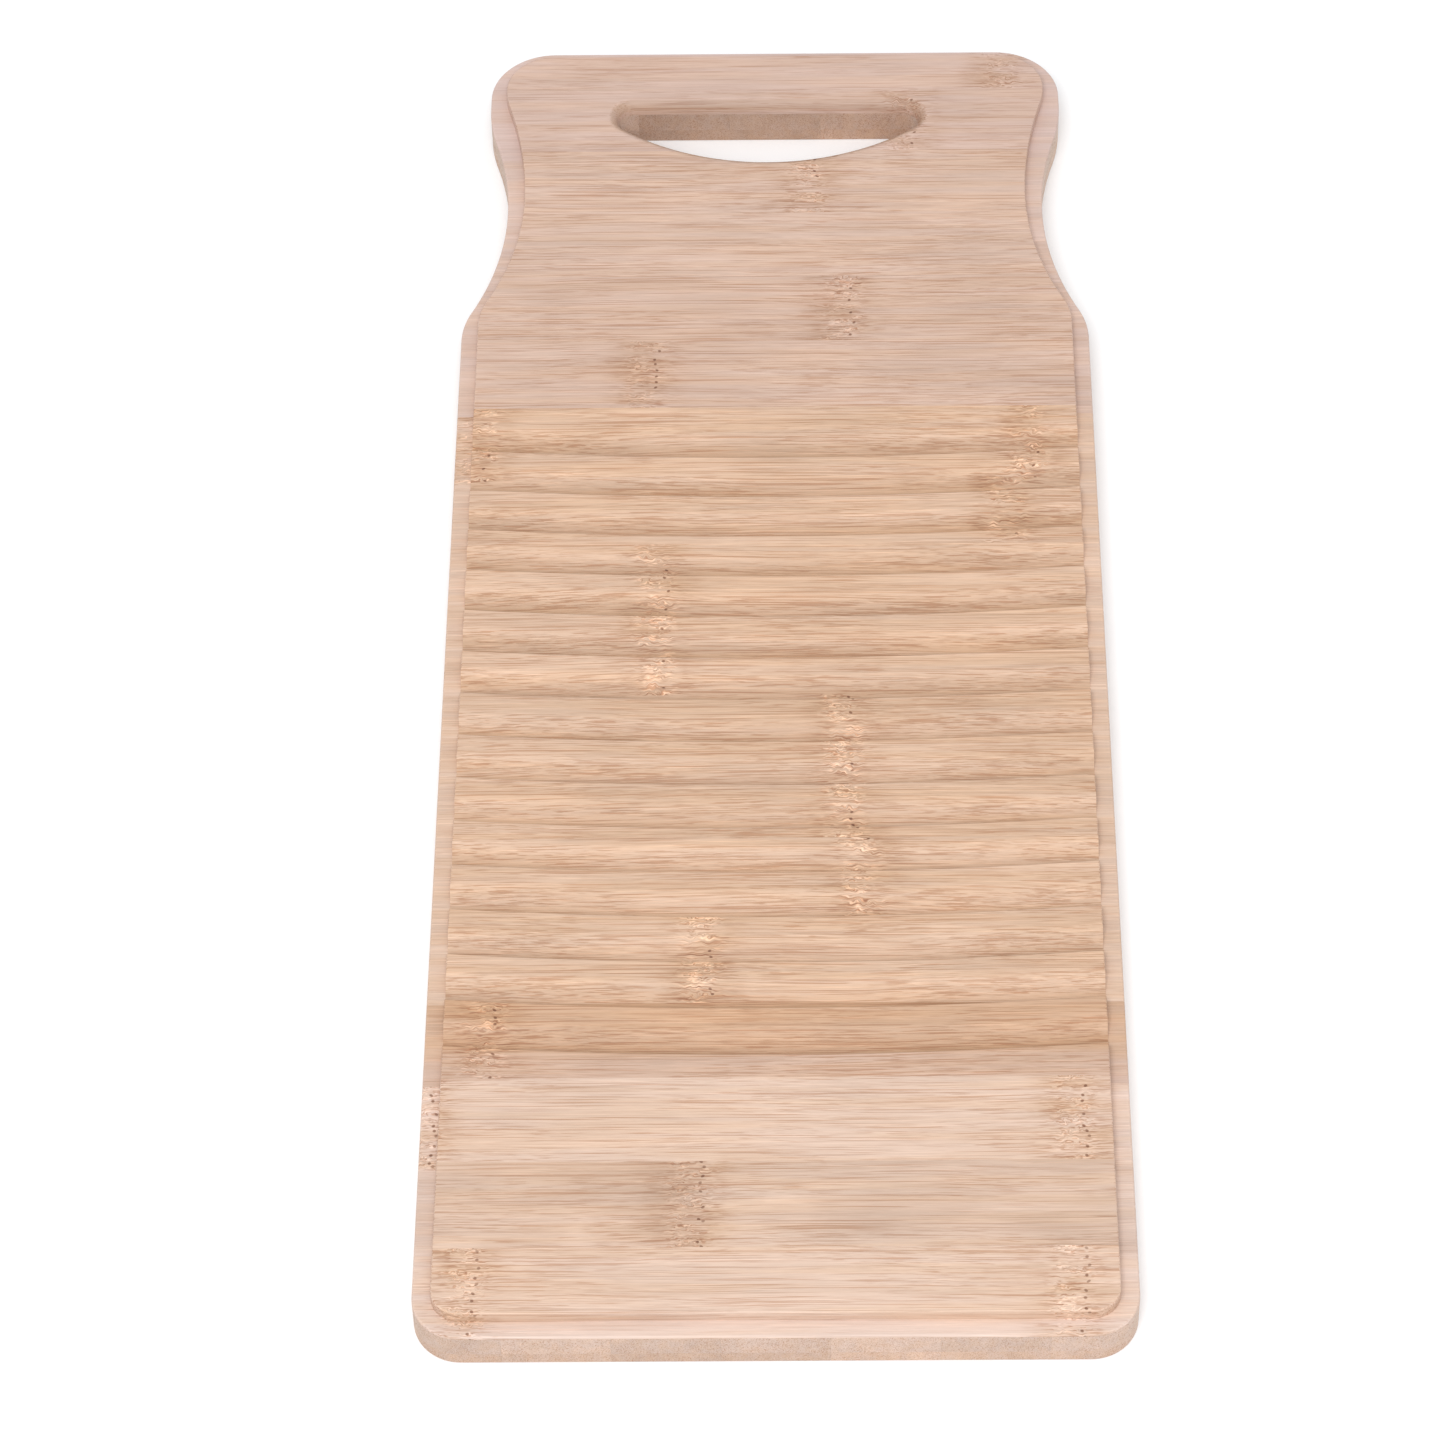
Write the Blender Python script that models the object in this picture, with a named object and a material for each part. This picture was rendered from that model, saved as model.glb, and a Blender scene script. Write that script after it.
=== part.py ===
"""A hand washboard glued up from bamboo strips, modelled strip by strip.

Three plies make the board. The back and the core are strips laid lengthwise, and the face is
strips laid across. The glued blank is then shaped as one: its outline is cut, a ledge is cut
round a raised panel, a hand slot goes through the handle, and curved grooves cross the panel
and leave the rubbing ridges between them.

The board lies on its back with +Z up and +Y towards the handle. The origin is on the
underside, at the middle of the board's length and width. Lengths are in metres.
"""

import math
from typing import NamedTuple

import bmesh
import bpy
from mathutils import Vector

# Overall size. Distances along the board, named *_y, are counted from its front edge.
BOARD_LENGTH = 0.460
BOARD_WIDTH = 0.180
FRONT = -BOARD_LENGTH / 2

# The three plies, from the underside up.
BACK_PLY = 0.0043
CORE_PLY = 0.0065
FACE_PLY = 0.0042
BACK_TOP = BACK_PLY
CORE_TOP = BACK_TOP + CORE_PLY
TOP = CORE_TOP + FACE_PLY
GLUE_LINE = 0.0001

# The lengthwise strips are centred on the board, and the face strips are counted from its front.
LONG_STRIP_WIDTH = 0.0271
LONG_STRIPS = 7
FACE_STRIP_WIDTH = 0.026
FIRST_FACE_STRIP = 0.0242
FACE_STRIPS = 18

# The ledge round the raised panel.
LEDGE_WIDTH = 0.0048
LEDGE_DEPTH = 0.0035
LEDGE_TOP = TOP - LEDGE_DEPTH

# The hand slot. Its far side is straight and its near side is one shallow curve.
SLOT_CENTRE_X = -0.002
SLOT_NEAR_Y = 0.4112
SLOT_FAR_Y = 0.4342
SLOT_NEAR_RADIUS = 0.072
SLOT_END_RADIUS = 0.005
SLOT_TOP_ROUND = 0.0033
SLOT_BOTTOM_ROUND = 0.0004

# The centres of the slot's curves. Each end curve runs smoothly into the near curve, and its
# centre is SLOT_END_OFFSET to the side of the slot's middle.
SLOT_NEAR_CENTRE_Y = SLOT_NEAR_Y + SLOT_NEAR_RADIUS
SLOT_END_CENTRE_Y = SLOT_FAR_Y - SLOT_END_RADIUS
SLOT_CENTRES_APART = SLOT_NEAR_RADIUS - SLOT_END_RADIUS
SLOT_END_OFFSET = math.sqrt(SLOT_CENTRES_APART**2 - (SLOT_NEAR_CENTRE_Y - SLOT_END_CENTRE_Y) ** 2)

# The grooves follow shallow arcs whose middle is nearest the front. Going towards the handle, each
# one drops steeply from the crest of the ridge before it, then rises gently to the next ridge.
GROOVES = 15
GROOVE_PITCH = 0.01482
FIRST_CREST_Y = 0.0835
GROOVE_DROP_WIDTH = 0.0024
GROOVE_RISE_WIDTH = 0.0068
GROOVE_DEPTH = 0.0034
GROOVE_ARC_RADIUS = 1.1

# How finely the round shapes are divided, and how far a cutter reaches past what it cuts.
CORNER_STEPS = 5
BEND_STEPS = 6
SLOT_END_STEPS = 5
SLOT_NEAR_STEPS = 12
SLOT_ROUND_STEPS = 4
GROOVE_DROP_STEPS = 4
GROOVE_RISE_STEPS = 6
GROOVE_ARC_STEPS = 10
REACH = 0.003


class Outline(NamedTuple):
    """One side of a plan outline that is the same left and right."""

    front_y: float
    front_radius: float
    side: float
    shoulder_radius: float
    hollow_radius: float
    waist: float
    waist_y: float
    flare_radius: float
    swell_radius: float
    grip: float
    far_y: float
    far_radius: float


BOARD_OUTLINE = Outline(
    front_y=0.0,
    front_radius=0.0122,
    side=BOARD_WIDTH / 2,
    shoulder_radius=0.026,
    hollow_radius=0.097,
    waist=0.0783,
    waist_y=0.393,
    flare_radius=0.100,
    swell_radius=0.050,
    grip=0.0847,
    far_y=BOARD_LENGTH,
    far_radius=0.0187,
)

# The ledge is a little wider where the handle flares out, so the panel has bends of its own.
PANEL_OUTLINE = Outline(
    front_y=LEDGE_WIDTH,
    front_radius=0.0072,
    side=BOARD_WIDTH / 2 - LEDGE_WIDTH,
    shoulder_radius=0.020,
    hollow_radius=0.097,
    waist=0.0734,
    waist_y=0.395,
    flare_radius=0.140,
    swell_radius=0.024,
    grip=0.0800,
    far_y=BOARD_LENGTH - LEDGE_WIDTH,
    far_radius=0.0139,
)

# Colours of the bamboo, and where each one is.
PALE = (0.78, 0.56, 0.43)
TAN = (0.68, 0.48, 0.36)
HONEY = (0.70, 0.49, 0.36)
ROSE = (0.68, 0.48, 0.38)
CORE = (0.70, 0.52, 0.42)
BACK = (0.68, 0.50, 0.40)
FACE_COLOURS = [PALE, TAN, PALE, TAN] + [HONEY] * 8 + [ROSE] * 6
BAMBOO_ROUGHNESS = 0.55


def clear_scene():
    for obj in list(bpy.data.objects):
        bpy.data.objects.remove(obj, do_unlink=True)


def arc(centre_x, centre_y, radius, start, end, steps):
    """Points on an arc in plan, with both ends. Angles are in radians from +X."""
    points = []
    for i in range(steps + 1):
        angle = start + (end - start) * i / steps
        points.append((centre_x + radius * math.cos(angle), centre_y + radius * math.sin(angle)))
    return points


def bend_angle(offset, first_radius, second_radius):
    """How far two arcs turn where they join two parallel lines, offset apart, in an S."""
    return math.acos(1 - offset / (first_radius + second_radius))


def outline_points(shape):
    """The closed outline in plan, anticlockwise from the front right corner."""
    corner = shape.front_radius
    right = arc(shape.side - corner, shape.front_y + corner, corner, -math.pi / 2, 0, CORNER_STEPS)

    # From the side, round the shoulder and in to the waist.
    turn = bend_angle(shape.side - shape.waist, shape.shoulder_radius, shape.hollow_radius)
    shoulder_y = shape.waist_y - (shape.shoulder_radius + shape.hollow_radius) * math.sin(turn)
    shoulder_centre = shape.side - shape.shoulder_radius
    hollow_centre = shape.waist + shape.hollow_radius
    right += arc(shoulder_centre, shoulder_y, shape.shoulder_radius, 0, turn, BEND_STEPS)
    hollow = arc(hollow_centre, shape.waist_y, shape.hollow_radius, math.pi + turn, math.pi, BEND_STEPS)
    right += hollow[1:]

    # From the waist, out to the full width of the handle.
    turn = bend_angle(shape.grip - shape.waist, shape.flare_radius, shape.swell_radius)
    grip_y = shape.waist_y + (shape.flare_radius + shape.swell_radius) * math.sin(turn)
    flare_centre = shape.waist + shape.flare_radius
    swell_centre = shape.grip - shape.swell_radius
    flare = arc(flare_centre, shape.waist_y, shape.flare_radius, math.pi, math.pi - turn, BEND_STEPS)
    swell = arc(swell_centre, grip_y, shape.swell_radius, -turn, 0, BEND_STEPS)
    right += flare[1:] + swell[1:-1]

    corner = shape.far_radius
    right += arc(shape.grip - corner, shape.far_y - corner, corner, 0, math.pi / 2, CORNER_STEPS)
    left = [(-x, y) for x, y in reversed(right)]
    return [(x, FRONT + y) for x, y in right + left]


def slot_points(grow):
    """The hand slot's outline, anticlockwise, moved outwards by grow."""
    near_radius = SLOT_NEAR_RADIUS + grow
    end_radius = SLOT_END_RADIUS + grow
    lean = math.asin(SLOT_END_OFFSET / SLOT_CENTRES_APART)
    up = math.pi / 2
    near = arc(0, SLOT_NEAR_CENTRE_Y, near_radius, -up - lean, -up + lean, SLOT_NEAR_STEPS)
    right = arc(SLOT_END_OFFSET, SLOT_END_CENTRE_Y, end_radius, -up + lean, up, SLOT_END_STEPS)
    left = arc(-SLOT_END_OFFSET, SLOT_END_CENTRE_Y, end_radius, up, 3 * up - lean, SLOT_END_STEPS)
    return [(SLOT_CENTRE_X + x, FRONT + y) for x, y in near + right[1:] + left[:-1]]


def new_object(name, mesh_maker, *arguments):
    """An object whose mesh is filled in by mesh_maker(shape, *arguments), shape being a BMesh."""
    mesh = bpy.data.meshes.new(name)
    shape = bmesh.new()
    mesh_maker(shape, *arguments)
    bmesh.ops.recalc_face_normals(shape, faces=shape.faces)
    shape.to_mesh(mesh)
    shape.free()
    obj = bpy.data.objects.new(name, mesh)
    bpy.context.scene.collection.objects.link(obj)
    return obj


def fill_rings(shape, rings):
    """A closed solid through rings of points, all with the same number of points."""
    loops = [[shape.verts.new(point) for point in ring] for ring in rings]
    for lower, upper in zip(loops, loops[1:]):
        for i in range(len(lower)):
            j = (i + 1) % len(lower)
            shape.faces.new((lower[i], lower[j], upper[j], upper[i]))
    shape.faces.new(reversed(loops[0]))
    shape.faces.new(loops[-1])


def level(points, height):
    """A ring of points in plan, all at one height."""
    return [(x, y, height) for x, y in points]


def fill_board(shape):
    """The board with its ledge, before the slot and the grooves."""
    outer = outline_points(BOARD_OUTLINE)
    panel = outline_points(PANEL_OUTLINE)
    rings = [level(outer, 0), level(outer, LEDGE_TOP), level(panel, LEDGE_TOP), level(panel, TOP)]
    fill_rings(shape, rings)


def fill_slot(shape):
    """The hand slot as a solid that flares at both mouths by the rounding of its edges."""
    low = SLOT_BOTTOM_ROUND
    high = SLOT_TOP_ROUND
    rings = [level(slot_points(low), -REACH)]
    for i in range(SLOT_ROUND_STEPS + 1):
        angle = math.pi / 2 * i / SLOT_ROUND_STEPS
        rings.append(level(slot_points(low * (1 - math.sin(angle))), low * (1 - math.cos(angle))))
    for i in range(SLOT_ROUND_STEPS + 1):
        angle = math.pi / 2 * i / SLOT_ROUND_STEPS
        height = TOP - high * (1 - math.sin(angle))
        rings.append(level(slot_points(high * (1 - math.cos(angle))), height))
    rings.append(level(slot_points(high), TOP + REACH))
    fill_rings(shape, rings)


def groove_section():
    """A groove's section, closed above the panel: (distance from its crest, height) points."""
    section = [(0, TOP + REACH)]
    for i in range(GROOVE_DROP_STEPS + 1):
        angle = math.pi / 2 * i / GROOVE_DROP_STEPS
        section.append((GROOVE_DROP_WIDTH * (1 - math.cos(angle)), TOP - GROOVE_DEPTH * math.sin(angle)))
    for i in range(1, GROOVE_RISE_STEPS + 1):
        done = i / GROOVE_RISE_STEPS
        depth = GROOVE_DEPTH * (1 + math.cos(math.pi * done)) / 2
        section.append((GROOVE_DROP_WIDTH + GROOVE_RISE_WIDTH * done, TOP - depth))
    section.append((GROOVE_DROP_WIDTH + GROOVE_RISE_WIDTH, TOP + REACH))
    return section


def fill_grooves(shape):
    """One curved bar for each groove, with the groove's section swept along its arc."""
    half_turn = math.asin((BOARD_WIDTH / 2 + REACH) / GROOVE_ARC_RADIUS)
    for i in range(GROOVES):
        centre_y = FRONT + FIRST_CREST_Y + i * GROOVE_PITCH + GROOVE_ARC_RADIUS
        rings = []
        for step in range(GROOVE_ARC_STEPS + 1):
            angle = half_turn * (2 * step / GROOVE_ARC_STEPS - 1)
            ring = []
            for distance, height in groove_section():
                radius = GROOVE_ARC_RADIUS - distance
                ring.append((radius * math.sin(angle), centre_y - radius * math.cos(angle), height))
            rings.append(ring)
        fill_rings(shape, rings)


def make_guide(obj):
    """A guide shapes other objects and is no part of the board."""
    obj.hide_render = True
    obj.display_type = "WIRE"
    return obj


def add_boolean(obj, name, operation, other):
    modifier = obj.modifiers.new(name, "BOOLEAN")
    modifier.operation = operation
    modifier.object = other
    modifier.solver = "EXACT"


def make_shaped_board():
    """The board's whole outer shape, which every strip is cut to."""
    board = make_guide(new_object("shaped_board", fill_board))
    slot = make_guide(new_object("slot_cutter", fill_slot))
    grooves = make_guide(new_object("groove_cutters", fill_grooves))
    add_boolean(board, "hand_slot", "DIFFERENCE", slot)
    add_boolean(board, "grooves", "DIFFERENCE", grooves)
    return board


def bamboo(name, colour):
    material = bpy.data.materials.new(name)
    material.use_nodes = True
    shader = material.node_tree.nodes["Principled BSDF"]
    shader.inputs["Base Color"].default_value = (*colour, 1)
    shader.inputs["Roughness"].default_value = BAMBOO_ROUGHNESS
    shader.inputs["Metallic"].default_value = 0
    material.diffuse_color = (*colour, 1)
    return material


def fill_block(shape, size):
    """A rectangular block centred on the origin, with flat faces."""
    bmesh.ops.create_cube(shape, size=1)
    bmesh.ops.scale(shape, vec=size, verts=shape.verts)


def make_strip(name, low, high, colour, board):
    """One bamboo strip: a sawn block from low to high, shaped with the rest of the board."""
    low = Vector(low)
    high = Vector(high)
    strip = new_object(name, fill_block, high - low)
    strip.location = (low + high) / 2
    strip.data.materials.append(bamboo(name, colour))
    add_boolean(strip, "shaping", "INTERSECT", board)


def make_face_strips(board):
    """The strips across the board. The first and the last are cut narrower by its ends."""
    half_gap = GLUE_LINE / 2
    half_width = BOARD_WIDTH / 2 + REACH
    for i in range(FACE_STRIPS):
        far = FIRST_FACE_STRIP + i * FACE_STRIP_WIDTH
        near = far - FACE_STRIP_WIDTH
        low = (-half_width, FRONT + near + half_gap, CORE_TOP + half_gap)
        high = (half_width, FRONT + far - half_gap, TOP + REACH)
        make_strip(f"face_strip_{i + 1:02d}", low, high, FACE_COLOURS[i], board)


def make_long_strips(ply, bottom, top, colour, board):
    """The strips along the board. A strip that the hand slot cuts in two goes on in the grip."""
    half_gap = GLUE_LINE / 2
    half_slot = SLOT_END_OFFSET + SLOT_END_RADIUS
    near_end = FRONT - REACH
    slot_y = FRONT + SLOT_END_CENTRE_Y
    far_end = FRONT + BOARD_LENGTH + REACH
    for i in range(LONG_STRIPS):
        left = (i - LONG_STRIPS / 2) * LONG_STRIP_WIDTH + half_gap
        right = left + LONG_STRIP_WIDTH - GLUE_LINE
        name = f"{ply}_strip_{i + 1}"
        if SLOT_CENTRE_X - half_slot < left and right < SLOT_CENTRE_X + half_slot:
            make_strip(name, (left, near_end, bottom), (right, slot_y, top), colour, board)
            make_strip(f"{name}_grip", (left, slot_y, bottom), (right, far_end, top), colour, board)
        else:
            make_strip(name, (left, near_end, bottom), (right, far_end, top), colour, board)


def main():
    clear_scene()
    board = make_shaped_board()
    half_gap = GLUE_LINE / 2
    make_long_strips("back", -REACH, BACK_TOP - half_gap, BACK, board)
    make_long_strips("core", BACK_TOP + half_gap, CORE_TOP - half_gap, CORE, board)
    make_face_strips(board)


main()
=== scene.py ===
"""The look of a bamboo hand washboard: every strip remade with fine, rounded shapes and bamboo grain.

The board lies on its back with +Z up and +Y towards the handle, with the origin on its underside
at the middle of its length and width. Lengths are in metres unless a name ends in _mm.
"""

import math
from typing import NamedTuple

import bmesh
import bpy
from mathutils import Matrix, Vector


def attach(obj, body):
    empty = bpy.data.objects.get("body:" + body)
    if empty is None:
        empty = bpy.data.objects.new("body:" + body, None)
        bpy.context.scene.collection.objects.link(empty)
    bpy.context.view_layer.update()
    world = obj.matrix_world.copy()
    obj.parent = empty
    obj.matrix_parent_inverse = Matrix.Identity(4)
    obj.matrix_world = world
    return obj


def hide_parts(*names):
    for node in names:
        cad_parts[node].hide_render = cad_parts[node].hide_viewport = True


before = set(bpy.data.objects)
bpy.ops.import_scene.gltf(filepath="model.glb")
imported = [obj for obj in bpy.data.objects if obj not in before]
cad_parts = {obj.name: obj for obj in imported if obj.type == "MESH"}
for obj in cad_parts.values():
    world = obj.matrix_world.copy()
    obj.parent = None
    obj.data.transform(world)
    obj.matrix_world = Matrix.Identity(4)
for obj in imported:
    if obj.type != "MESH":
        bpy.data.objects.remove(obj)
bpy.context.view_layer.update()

# Overall size, from the CAD. Distances along the board, named *_y, are from its front edge.
BOARD_WIDTH = 0.180
BOARD_LENGTH = 0.460
FRONT = -BOARD_LENGTH / 2

# The three plies, from the underside up.
BACK_TOP = 0.0043
CORE_TOP = 0.0108
TOP = 0.0150
GLUE_LINE = 0.00002

# The strips of each ply. The first face strip's far edge is this far from the front.
LONG_STRIP_WIDTH = 0.0271
FACE_STRIP_WIDTH = 0.026
FIRST_FACE_STRIP_END = 0.0242

# The ledge round the raised panel.
LEDGE_WIDTH = 0.0048
LEDGE_TOP = TOP - 0.0035

# The hand slot.
SLOT_CENTRE_X = -0.002
SLOT_NEAR_Y = 0.4112
SLOT_FAR_Y = 0.4342
SLOT_NEAR_RADIUS = 0.072
SLOT_END_RADIUS = 0.005
SLOT_TOP_ROUND = 0.0033
SLOT_BOTTOM_ROUND = 0.0004
SLOT_NEAR_CENTRE_Y = SLOT_NEAR_Y + SLOT_NEAR_RADIUS
SLOT_END_CENTRE_Y = SLOT_FAR_Y - SLOT_END_RADIUS
SLOT_CENTRES_APART = SLOT_NEAR_RADIUS - SLOT_END_RADIUS
SLOT_END_OFFSET = math.sqrt(SLOT_CENTRES_APART**2 - (SLOT_NEAR_CENTRE_Y - SLOT_END_CENTRE_Y) ** 2)

# The grooves.
GROOVES = 15
GROOVE_PITCH = 0.01482
FIRST_CREST_Y = 0.0835
GROOVE_DROP_WIDTH = 0.0024
GROOVE_RISE_WIDTH = 0.0068
GROOVE_DEPTH = 0.0034
GROOVE_ARC_RADIUS = 1.1

# How far the sanded edges are rounded.
BOTTOM_ROUND = 0.0010
LEDGE_ROUND = 0.0006
PANEL_ROUND = 0.0005
CREST_ROUND = 0.0005

# How finely the shapes are divided, and how far a cutter reaches past what it cuts.
CORNER_STEPS = 18
BEND_STEPS = 22
SLOT_END_STEPS = 14
SLOT_NEAR_STEPS = 48
SLOT_ROUND_STEPS = 10
EDGE_STEPS = 4
GROOVE_DROP_STEPS = 10
GROOVE_RISE_STEPS = 18
GROOVE_ARC_STEPS = 48
REACH = 0.003
SMOOTH_BELOW = math.radians(32)


class Outline(NamedTuple):
    """One side of a plan outline that is the same left and right."""

    front_y: float
    front_radius: float
    side: float
    shoulder_radius: float
    hollow_radius: float
    waist: float
    waist_y: float
    flare_radius: float
    swell_radius: float
    grip: float
    far_y: float
    far_radius: float


BOARD_OUTLINE = Outline(
    front_y=0.0,
    front_radius=0.0122,
    side=BOARD_WIDTH / 2,
    shoulder_radius=0.026,
    hollow_radius=0.097,
    waist=0.0783,
    waist_y=0.393,
    flare_radius=0.100,
    swell_radius=0.050,
    grip=0.0847,
    far_y=BOARD_LENGTH,
    far_radius=0.0187,
)

PANEL_OUTLINE = Outline(
    front_y=LEDGE_WIDTH,
    front_radius=0.0072,
    side=BOARD_WIDTH / 2 - LEDGE_WIDTH,
    shoulder_radius=0.020,
    hollow_radius=0.097,
    waist=0.0734,
    waist_y=0.395,
    flare_radius=0.140,
    swell_radius=0.024,
    grip=0.0800,
    far_y=BOARD_LENGTH - LEDGE_WIDTH,
    far_radius=0.0139,
)


def arc(centre_x, centre_y, radius, start, end, steps):
    """Points on an arc in plan, with both ends. Angles are in radians from +X."""
    points = []
    for i in range(steps + 1):
        angle = start + (end - start) * i / steps
        points.append((centre_x + radius * math.cos(angle), centre_y + radius * math.sin(angle)))
    return points


def bend_angle(offset, first_radius, second_radius):
    """How far two arcs turn where they join two parallel lines, offset apart, in an S."""
    return math.acos(1 - offset / (first_radius + second_radius))


def outline_points(shape):
    """The closed outline in plan, anticlockwise from the front right corner."""
    corner = shape.front_radius
    right = arc(shape.side - corner, shape.front_y + corner, corner, -math.pi / 2, 0, CORNER_STEPS)

    # From the side, round the shoulder and in to the waist.
    turn = bend_angle(shape.side - shape.waist, shape.shoulder_radius, shape.hollow_radius)
    shoulder_y = shape.waist_y - (shape.shoulder_radius + shape.hollow_radius) * math.sin(turn)
    shoulder_centre = shape.side - shape.shoulder_radius
    hollow_centre = shape.waist + shape.hollow_radius
    right += arc(shoulder_centre, shoulder_y, shape.shoulder_radius, 0, turn, BEND_STEPS)
    hollow = arc(hollow_centre, shape.waist_y, shape.hollow_radius, math.pi + turn, math.pi, BEND_STEPS)
    right += hollow[1:]

    # From the waist, out to the full width of the handle.
    turn = bend_angle(shape.grip - shape.waist, shape.flare_radius, shape.swell_radius)
    grip_y = shape.waist_y + (shape.flare_radius + shape.swell_radius) * math.sin(turn)
    flare_centre = shape.waist + shape.flare_radius
    swell_centre = shape.grip - shape.swell_radius
    flare = arc(flare_centre, shape.waist_y, shape.flare_radius, math.pi, math.pi - turn, BEND_STEPS)
    swell = arc(swell_centre, grip_y, shape.swell_radius, -turn, 0, BEND_STEPS)
    right += flare[1:] + swell[1:-1]

    corner = shape.far_radius
    right += arc(shape.grip - corner, shape.far_y - corner, corner, 0, math.pi / 2, CORNER_STEPS)
    left = [(-x, y) for x, y in reversed(right)]
    return [(x, FRONT + y) for x, y in right + left]


def inset(points, distance):
    """A closed anticlockwise outline, moved inwards by distance."""
    moved = []
    for i, (x, y) in enumerate(points):
        before = Vector(points[i - 1])
        after = Vector(points[(i + 1) % len(points)])
        along = (after - before).normalized()
        moved.append((x - along.y * distance, y + along.x * distance))
    return moved


def slot_points(grow):
    """The hand slot's outline, anticlockwise, moved outwards by grow."""
    near_radius = SLOT_NEAR_RADIUS + grow
    end_radius = SLOT_END_RADIUS + grow
    lean = math.asin(SLOT_END_OFFSET / SLOT_CENTRES_APART)
    up = math.pi / 2
    near = arc(0, SLOT_NEAR_CENTRE_Y, near_radius, -up - lean, -up + lean, SLOT_NEAR_STEPS)
    right = arc(SLOT_END_OFFSET, SLOT_END_CENTRE_Y, end_radius, -up + lean, up, SLOT_END_STEPS)
    left = arc(-SLOT_END_OFFSET, SLOT_END_CENTRE_Y, end_radius, up, 3 * up - lean, SLOT_END_STEPS)
    return [(SLOT_CENTRE_X + x, FRONT + y) for x, y in near + right[1:] + left[:-1]]


def new_object(name, mesh_maker, *arguments):
    """An object whose mesh is filled in by mesh_maker(bmesh, *arguments)."""
    mesh = bpy.data.meshes.new(name)
    shape = bmesh.new()
    mesh_maker(shape, *arguments)
    bmesh.ops.recalc_face_normals(shape, faces=shape.faces)
    shape.to_mesh(mesh)
    shape.free()
    obj = bpy.data.objects.new(name, mesh)
    bpy.context.scene.collection.objects.link(obj)
    return obj


def fill_rings(shape, rings):
    """A closed solid through rings of 3-D points, all with the same number of points."""
    loops = [[shape.verts.new(point) for point in ring] for ring in rings]
    for lower, upper in zip(loops, loops[1:]):
        for i in range(len(lower)):
            j = (i + 1) % len(lower)
            shape.faces.new((lower[i], lower[j], upper[j], upper[i]))
    shape.faces.new(reversed(loops[0]))
    shape.faces.new(loops[-1])


def level(points, height):
    """Points in plan, placed at a height."""
    return [(x, y, height) for x, y in points]


def quarter(steps):
    """(sine, cosine) at even steps from 0 to a right angle."""
    angles = [math.pi / 2 * i / steps for i in range(steps + 1)]
    return [(math.sin(angle), math.cos(angle)) for angle in angles]


def fill_board(shape):
    """The whole board with its ledge and rounded edges, before the slot and the grooves."""
    outer = outline_points(BOARD_OUTLINE)
    panel = outline_points(PANEL_OUTLINE)
    rings = []
    for sine, cosine in quarter(EDGE_STEPS):
        rings.append(level(inset(outer, BOTTOM_ROUND * (1 - sine)), BOTTOM_ROUND * (1 - cosine)))
    for sine, cosine in quarter(EDGE_STEPS):
        height = LEDGE_TOP - LEDGE_ROUND * (1 - sine)
        rings.append(level(inset(outer, LEDGE_ROUND * (1 - cosine)), height))
    rings.append(level(panel, LEDGE_TOP))
    for sine, cosine in quarter(EDGE_STEPS):
        height = TOP - PANEL_ROUND * (1 - sine)
        rings.append(level(inset(panel, PANEL_ROUND * (1 - cosine)), height))
    fill_rings(shape, rings)


def fill_slot(shape):
    """The hand slot as a solid that flares at both mouths by the rounding of its edges."""
    low = SLOT_BOTTOM_ROUND
    high = SLOT_TOP_ROUND
    rings = [level(slot_points(low), -REACH)]
    for sine, cosine in quarter(SLOT_ROUND_STEPS):
        rings.append(level(slot_points(low * (1 - sine)), low * (1 - cosine)))
    for sine, cosine in quarter(SLOT_ROUND_STEPS):
        rings.append(level(slot_points(high * (1 - cosine)), TOP - high * (1 - sine)))
    rings.append(level(slot_points(high), TOP + REACH))
    fill_rings(shape, rings)


def groove_section():
    """A groove's section with a rounded crest, closed above the panel, as (distance, height)."""
    section = [(-CREST_ROUND, TOP + REACH)]
    for sine, cosine in quarter(EDGE_STEPS):
        section.append((CREST_ROUND * (sine - 1), TOP - CREST_ROUND * (1 - cosine)))
    for sine, cosine in quarter(GROOVE_DROP_STEPS)[1:]:
        drop = CREST_ROUND + (GROOVE_DEPTH - CREST_ROUND) * sine
        section.append((GROOVE_DROP_WIDTH * (1 - cosine), TOP - drop))
    for i in range(1, GROOVE_RISE_STEPS + 1):
        done = i / GROOVE_RISE_STEPS
        depth = GROOVE_DEPTH * (1 + math.cos(math.pi * done)) / 2
        section.append((GROOVE_DROP_WIDTH + GROOVE_RISE_WIDTH * done, TOP - depth))
    section.append((GROOVE_DROP_WIDTH + GROOVE_RISE_WIDTH, TOP + REACH))
    return section


def fill_grooves(shape):
    """One curved bar for each groove, with the groove's section swept along its arc."""
    half_turn = math.asin((BOARD_WIDTH / 2 + REACH) / GROOVE_ARC_RADIUS)
    for i in range(GROOVES):
        centre_y = FRONT + FIRST_CREST_Y + i * GROOVE_PITCH + GROOVE_ARC_RADIUS
        rings = []
        for step in range(GROOVE_ARC_STEPS + 1):
            angle = half_turn * (2 * step / GROOVE_ARC_STEPS - 1)
            ring = []
            for distance, height in groove_section():
                radius = GROOVE_ARC_RADIUS - distance
                ring.append((radius * math.sin(angle), centre_y - radius * math.cos(angle), height))
            rings.append(ring)
        fill_rings(shape, rings)


def add_boolean(obj, operation, other):
    """Cuts obj by other, or to it, once its modifiers are applied."""
    modifier = obj.modifiers.new(other.name, "BOOLEAN")
    modifier.operation = operation
    modifier.object = other
    modifier.solver = "MANIFOLD"


def apply_modifiers(obj):
    """Gives the object the mesh that its modifiers make, and takes them off."""
    graph = bpy.context.evaluated_depsgraph_get()
    mesh = bpy.data.meshes.new_from_object(obj.evaluated_get(graph))
    obj.modifiers.clear()
    obj.data = mesh


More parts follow.
